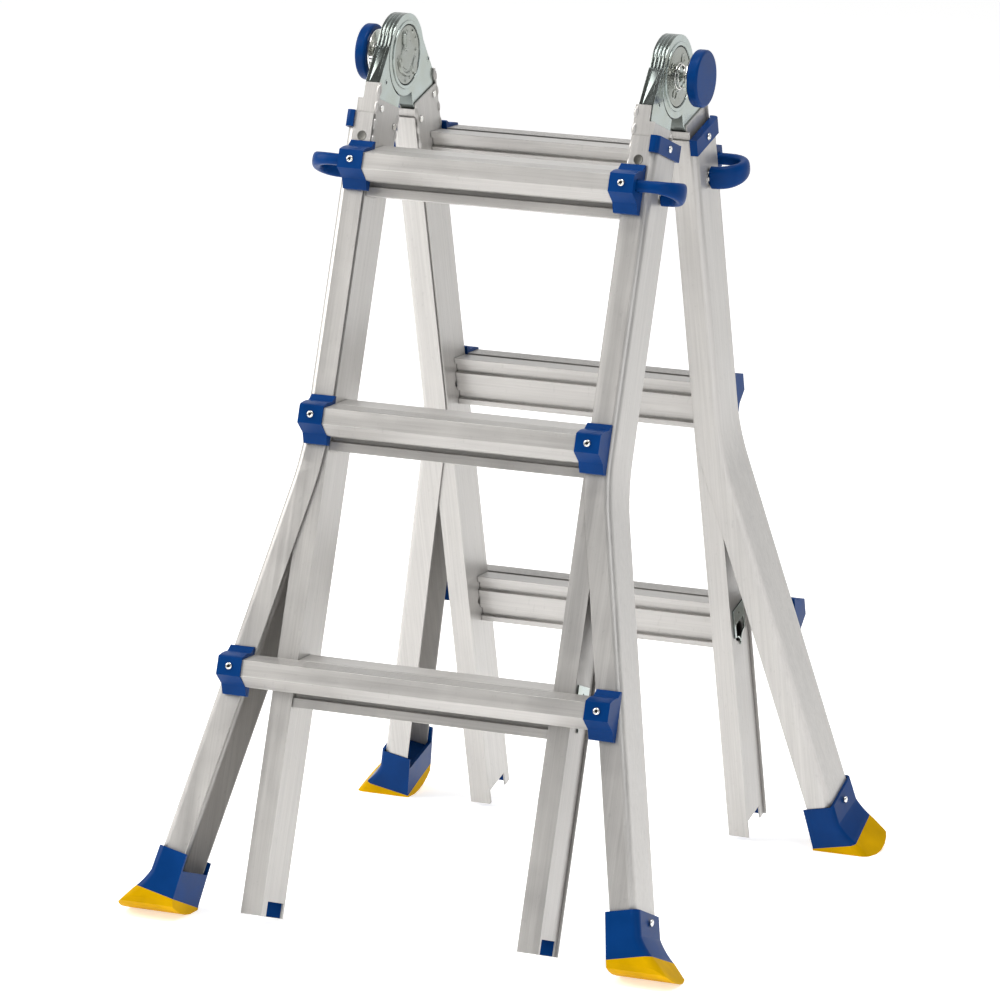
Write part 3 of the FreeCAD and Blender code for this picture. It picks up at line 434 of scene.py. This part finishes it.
def lathe(profile, centre, axis, count=28):
    """A turned shape: profile of (radius, height) pairs about an axis through the centre."""
    axis = Vector(axis).normalized()
    across = axis.orthogonal().normalized()
    over = axis.cross(across)
    rings = [[Vector(centre) + axis * high + (across * math.cos(turn) + over * math.sin(turn)) * radius
              for turn in (2 * math.pi * step / count for step in range(count))]
             for radius, high in profile]
    return loft(rings)


def local(across, offset, depth):
    """Section coordinates, as in the CAD: across, outward offset and depth down the rail."""
    return Vector((across, -offset, -depth))


def smooth_step(value):
    value = min(1.0, max(0.0, value))
    return value * value * (3 - 2 * value)


# ---------------------------------------------------------------- lock handles

# Half width and half height of the thin leg, and how much wider the tall end is.
LEG_HALF, LEG_TALL, LEG_GROWTH = 6.0, 7.0, 0.9
# How far along and at what share of full size each ring lies that rounds an end.
HANDLE_ENDS = ((0.0, 0.72), (0.9, 0.90), (2.2, 1.0))


def handle_shape(spots, side):
    """A fat rounded hook swept round from the thin leg in the bracket to the tall end on the web."""
    reach = np.abs(spots[:, 0])
    low, high = spots[:, 1].min(), spots[:, 1].max()
    start, web, tip = reach.min(), reach[spots[:, 1] < low + 14].min(), reach.max()
    near, far = low + 7.0, high - LEG_HALF
    radius = (far - near) / 2
    hub = tip - radius - LEG_HALF - 0.4
    middle = (far + near) / 2
    depths = spots[:, 2]
    centre, tall = (depths.min() + depths.max()) / 2, (depths.max() - depths.min()) / 2
    path = [(start + (hub - start) * step / 10, far, Vector((1, 0))) for step in range(10)]
    for step in range(31):
        turn = math.pi / 2 - math.pi * step / 30
        path.append((hub + radius * math.cos(turn), middle + radius * math.sin(turn),
                     Vector((math.sin(turn), -math.cos(turn)))))
    path += [(hub + (web - hub) * step / 3, near, Vector((-1, 0))) for step in (1, 2, 3)]
    sizes = []
    for index in range(len(path)):
        grown = smooth_step((index - 10) / 26)
        sizes.append((LEG_HALF + LEG_GROWTH * grown, LEG_TALL + (tall - LEG_TALL) * grown))
    rings = []
    last = len(path) - 1
    for index, ((across, offset, along), (wide, high_half)) in enumerate(zip(path, sizes)):
        stages = [(0.0, 1.0)]
        if index == 0:
            stages = HANDLE_ENDS
        elif index == last:
            stages = [(-push, shrink) for push, shrink in reversed(HANDLE_ENDS)]
        beside = Vector((-along.y, along.x))
        for push, shrink in stages:
            ring = []
            for sway, rise in squircle(wide * shrink, high_half * shrink):
                spot = Vector((across, offset)) + along * push + beside * sway
                ring.append(local(side * spot.x, spot.y, centre + rise))
            rings.append(ring)
    return loft(rings)


def build_handles():
    """Rounded loops in place of the four lock handles of the CAD."""
    for section in SECTIONS:
        for word, side in SIDES.items():
            node_name = f"{section}_lock_handle_{word}"
            shape = handle_shape(local_points(node_name, section), side)
            piece = add_piece(f"{section}_loop_handle_{word}", [shape], f"{section}_lock_{word}", BLUE,
                              section, 60.0)
            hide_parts(node_name)


# ---------------------------------------------------------------- hinges

HINGE_MIDDLE, HINGE_HALF = 174.15, 9.2
# Profiles of turned shapes, as (radius, height) pairs.
# The seam ring is a near-black sheet: painted shade in the gap round each cover.
SEAM_SHADE = [(37.3, 0.06), (35.2, 0.06), (35.2, -0.3), (37.3, -0.3)]
# The rivet core is a near-black plug: painted shade in the rivet's hole.
RIVET_HOLE_SHADE = [(0.01, 0.7), (1.3, 0.62), (1.9, 0.2), (2.0, -0.3)]
RIVET_HEAD = [(1.9, 0.1), (2.2, 0.5), (3.0, 0.5), (3.4, 0.0), (3.4, -0.3)]
# The pressed covers: height of the sheet, radii of its rim and its edge, the curved ridge's ends
# in degrees, and the (forward, up) places of the dots and of the small rings.
COVER_LEVEL, RIM_RADIUS, COVER_RADIUS = 0.2, 35.6, 35.8
RIDGE_FROM, RIDGE_TO = 175, 295
INNER_DOTS = ((15.0, 27.0), (24.0, 18.0), (9.0, -28.0), (-3.0, -31.0), (25.0, 3.0), (-27.0, -2.0))
OUTER_RINGS = ((20.0, -12.0), (-20.0, 12.0), (12.0, 20.0), (-12.0, -20.0))
# Offset and depth of the rivet on each section's hinge leg.
PLATE_RIVETS = {"front": (48, 43), "rear": (57, 30)}


def raised(distance, height, edge=1.1):
    """Height of a soft-edged relief at a signed distance from its outline."""
    return height * smooth_step(0.5 - distance / edge)


def emboss(spot, inner):
    """Height of the pressed cover over the plate at a (forward, up) point round the hinge."""
    y, z = spot
    reach = math.hypot(y, z)
    reliefs = [raised(reach - 17.5, 1.1, 1.4)]
    if inner:
        stadium = math.hypot(y + 5.0, z - min(max(z, 10.0), 24.0)) - 5.6
        reliefs.append(raised(stadium, 3.4, 2.2))
        turn = math.degrees(math.atan2(z, y)) % 360
        if RIDGE_FROM < turn < RIDGE_TO:
            fade = smooth_step(min(turn - RIDGE_FROM, RIDGE_TO - turn) / 14)
            reliefs.append(raised(abs(reach - 23.5) - 2.0, 2.3, 1.5) * fade)
        bean = math.hypot(y - 21.0, (z + 15.0) / 1.5) - 7.0
        reliefs.append(raised(bean, 2.0, 1.8))
        reliefs += [raised(math.hypot(y - dot_y, z - dot_z) - 1.9, 1.2, 0.9)
                    for dot_y, dot_z in INNER_DOTS]
    else:
        reliefs += [raised(abs(math.hypot(y - dot_y, z - dot_z) - 5.2) - 0.7, 0.8, 0.9)
                    for dot_y, dot_z in OUTER_RINGS]
    rim = smooth_step((RIM_RADIUS - reach) / 0.9)
    return (COVER_LEVEL + max(reliefs)) * rim - 0.15 * (1 - rim)


def pressing(side, inward):
    """The pressed cover as a closed skin on one face of a hinge."""
    inner = inward < 0
    face = HINGE_MIDDLE + inward * HINGE_HALF
    count, steps = 132, 46
    points = [(side * (face + inward * emboss((0, 0), inner)), 0.0, 0.0)]
    for ring in range(1, steps + 1):
        reach = COVER_RADIUS * ring / steps
        for spoke in range(count):
            turn = 2 * math.pi * spoke / count
            y, z = reach * math.cos(turn), reach * math.sin(turn)
            points.append((side * (face + inward * emboss((y, z), inner)), y, z))
    faces = [(0, 1 + spoke, 1 + (spoke + 1) % count) for spoke in range(count)]
    for ring in range(steps - 1):
        base, after = 1 + ring * count, 1 + (ring + 1) * count
        faces += [(base + spoke, after + spoke, after + (spoke + 1) % count, base + (spoke + 1) % count)
                  for spoke in range(count)]
    faces.append(tuple(1 + (steps - 1) * count + spoke for spoke in range(count)))
    return points, faces


def coil(side, start, end, first, last, turns, wire):
    """A conical coil spring between two distances across, from the first to the last radius."""
    count = int(turns * 22)
    rings = []
    for step in range(count + 1):
        share = step / count
        turn = 2 * math.pi * turns * share
        lay = smooth_step((share - 0.08) / 0.84)
        radius = first + (last - first) * share
        centre = Vector((side * (start + (end - start) * lay), radius * math.cos(turn),
                         radius * math.sin(turn)))
        out = Vector((0, math.cos(turn), math.sin(turn)))
        over = Vector((side, 0, 0))
        rings.append([centre + (out * math.cos(bend) + over * math.sin(bend)) * wire
                      for bend in (2 * math.pi * part / 10 for part in range(10))])
    return loft(rings)


def add_covers(word, side):
    """Pressed covers on both faces of a hinge, each with a near-black ring round it as painted shade in
    the seam.
    """
    for face, inward in (("inner", -1), ("outer", 1)):
        add_piece(f"hinge_cover_{face}_{word}", [pressing(side, inward)], "rear_inner_section", SHADED_COVER_ZINC)
        middle = (side * (HINGE_MIDDLE + inward * HINGE_HALF), 0, 0)
        add_piece(f"hinge_seam_shade_{face}_{word}", [lathe(SEAM_SHADE, middle, (side * inward, 0, 0), 96)],
                  "rear_inner_section", PAINTED_SHADE)


def add_spring(word, side):
    """Conical spring between a hinge and its knob."""
    face = HINGE_MIDDLE + HINGE_HALF
    stem_low, stem_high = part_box(f"knob_stem_{word}")
    end = max(abs(stem_low.x), abs(stem_high.x)) / MM - 10.0
    shape = coil(side, face + 1.4, end, 16.0, 10.0, 4.5, 1.0)
    spring = add_piece(f"knob_spring_{word}", [shape], "front_inner_section", BRIGHT, None, 80.0)
    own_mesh(spring)


def add_plate_rivets(section, offset, depth):
    """One small rivet on each face of both hinge legs of a section, with a near-black core as painted
    shade in its hole.
    """
    heads, cores = [], []
    for side in SIDES.values():
        for inward in (-1, 1):
            centre = local(side * (HINGE_MIDDLE + inward * HINGE_HALF), offset, depth)
            axis = (side * inward, 0, 0)
            cores.append(lathe(RIVET_HOLE_SHADE, centre, axis, 16))
            heads.append(lathe(RIVET_HEAD, centre, axis, 20))
    add_piece(f"{section}_plate_rivet_heads", heads, f"{section}_inner_section", ZINC, section)
    add_piece(f"{section}_plate_rivet_hole_shades", cores, f"{section}_inner_section", PAINTED_SHADE, section)


def build_hinges():
    for word, side in SIDES.items():
        add_covers(word, side)
        add_spring(word, side)
    for section, (offset, depth) in PLATE_RIVETS.items():
        add_plate_rivets(section, offset, depth)


# ---------------------------------------------------------------- rails and rivets

# Depth of the first rivet row, the step to the next, and a depth between the caps and the boots.
RIVET_ROW, RUNG_PITCH, HALF_WAY = 145.4, 304.8, 500.0
CRIMP_INSET, FRONT_CRIMPS, BACK_CRIMPS = 1.6, (56, 76, 97, 117), (80, 100, 120)
DIMPLE_AT = (176.0, 112.0)
# Profiles of turned shapes, as (radius, height) pairs.
# The bore is a near-black plug: painted shade in the tubular rivet's hole.
RIVET_BORE_SHADE = [(1.6, -0.9), (1.95, 0.16), (1.5, 0.2), (0.01, 0.1)]
RIVET_LIP = [(1.9, -0.4), (2.0, 0.3), (2.6, 0.75), (3.3, 0.7), (4.1, 0.1), (4.2, -0.5)]
DOME = [(4.3, -0.9), (4.35, -0.2), (3.9, 0.5), (2.9, 1.0), (1.5, 1.25), (1.1, 1.0), (0.01, 0.7)]
DIMPLE = [(6.0, -0.5), (6.0, 0.15), (5.3, 0.3), (4.9, 0.15), (4.6, 0.1), (0.01, 0.1)]


def crimp(across, offset, depth, half_wide=3.4, half_tall=8.0):
    """A swaged bump, longer down the rail than it is wide."""
    rings = []
    for row in range(1, 9):
        lift = math.pi * row / 9
        rings.append([local(across + half_wide * math.sin(lift) * math.cos(turn),
                            offset + half_wide * math.sin(lift) * math.sin(turn),
                            depth - half_tall * math.cos(lift))
                      for turn in (2 * math.pi * step / 14 for step in range(14))])
    return loft(rings)


def build_crimps():
    """Rows of crimps along the front and back corners of each inner rail's top."""
    for section in SECTIONS:
        for word, side in SIDES.items():
            spots = local_points(f"{section}_inner_rail_{word}", section)
            web, front, back = np.abs(spots[:, 0]).min(), spots[:, 1].max(), spots[:, 1].min()
            across = side * (web + CRIMP_INSET)
            shapes = [crimp(across, front - CRIMP_INSET, depth) for depth in FRONT_CRIMPS]
            shapes += [crimp(across, back + CRIMP_INSET, depth) for depth in BACK_CRIMPS]
            add_piece(f"{section}_rail_crimps_{word}", shapes, f"{section}_inner_section",
                      RAIL[section], section, 70.0)


def middle_of(spots, axis):
    """Halfway between a group's ends along an axis."""
    return (spots[:, axis].min() + spots[:, axis].max()) / 2


def add_bracket_rivets(section, body):
    """Rolled lips in the tubular rivets of the brackets, and near-black discs in their bores as painted
    shade.
    """
    spots = local_points(f"{section}_bracket_rivets", section)
    front = spots[:, 1].max()
    heads = spots[spots[:, 1] > front - 0.01]
    bores, lips = [], []
    for side in SIDES.values():
        for level in range(3):
            row = RIVET_ROW + RUNG_PITCH * level
            head = heads[(np.abs(heads[:, 2] - row) < 10) & (heads[:, 0] * side > 0)]
            across, depth = middle_of(head, 0), middle_of(head, 2)
            bores.append(lathe(RIVET_BORE_SHADE, local(across, front, depth), (0, -1, 0), 18))
            lips.append(lathe(RIVET_LIP, local(across, front - 0.1, depth), (0, -1, 0), 24))
    add_piece(f"{section}_rivet_bore_shades", bores, body, PAINTED_SHADE, section)
    add_piece(f"{section}_rivet_lips", lips, body, BRIGHT, section, 70.0)


def add_web_domes(section, body):
    """Domed heads on the rivets of the caps and the boots."""
    spots = local_points(f"{section}_web_rivets", section)
    domes = []
    for side in SIDES.values():
        for high in (True, False):
            head = spots[(spots[:, 0] * side > 0) & ((spots[:, 2] < HALF_WAY) == high)]
            centre = local(side * np.abs(head[:, 0]).max(), middle_of(head, 1), middle_of(head, 2))
            domes.append(lathe(DOME, centre, (side, 0, 0), 24))
    add_piece(f"{section}_rivet_domes", domes, body, BRIGHT, section, 70.0)


def add_flange_dimples(section, body):
    """A round dimple near the top of each outer rail's front flange: a dark grey disc whose grey is
    painted shade in the hollow.
    """
    face = local_points(f"{section}_outer_rail_left", section)[:, 1].max()
    across, depth = DIMPLE_AT
    dimples = [lathe(DIMPLE, local(side * across, face, depth), (0, -1, 0), 24)
               for side in SIDES.values()]
    add_piece(f"{section}_flange_dimples", dimples, body, DIMPLE_SHADE_GREY, section, 70.0)


def build_rivets():
    for section in SECTIONS:
        for add in (add_bracket_rivets, add_web_domes, add_flange_dimples):
            add(section, f"{section}_outer_section")


build_camera()
build_stage()
dress_cad()
build_handles()
build_hinges()
build_crimps()
build_rivets()
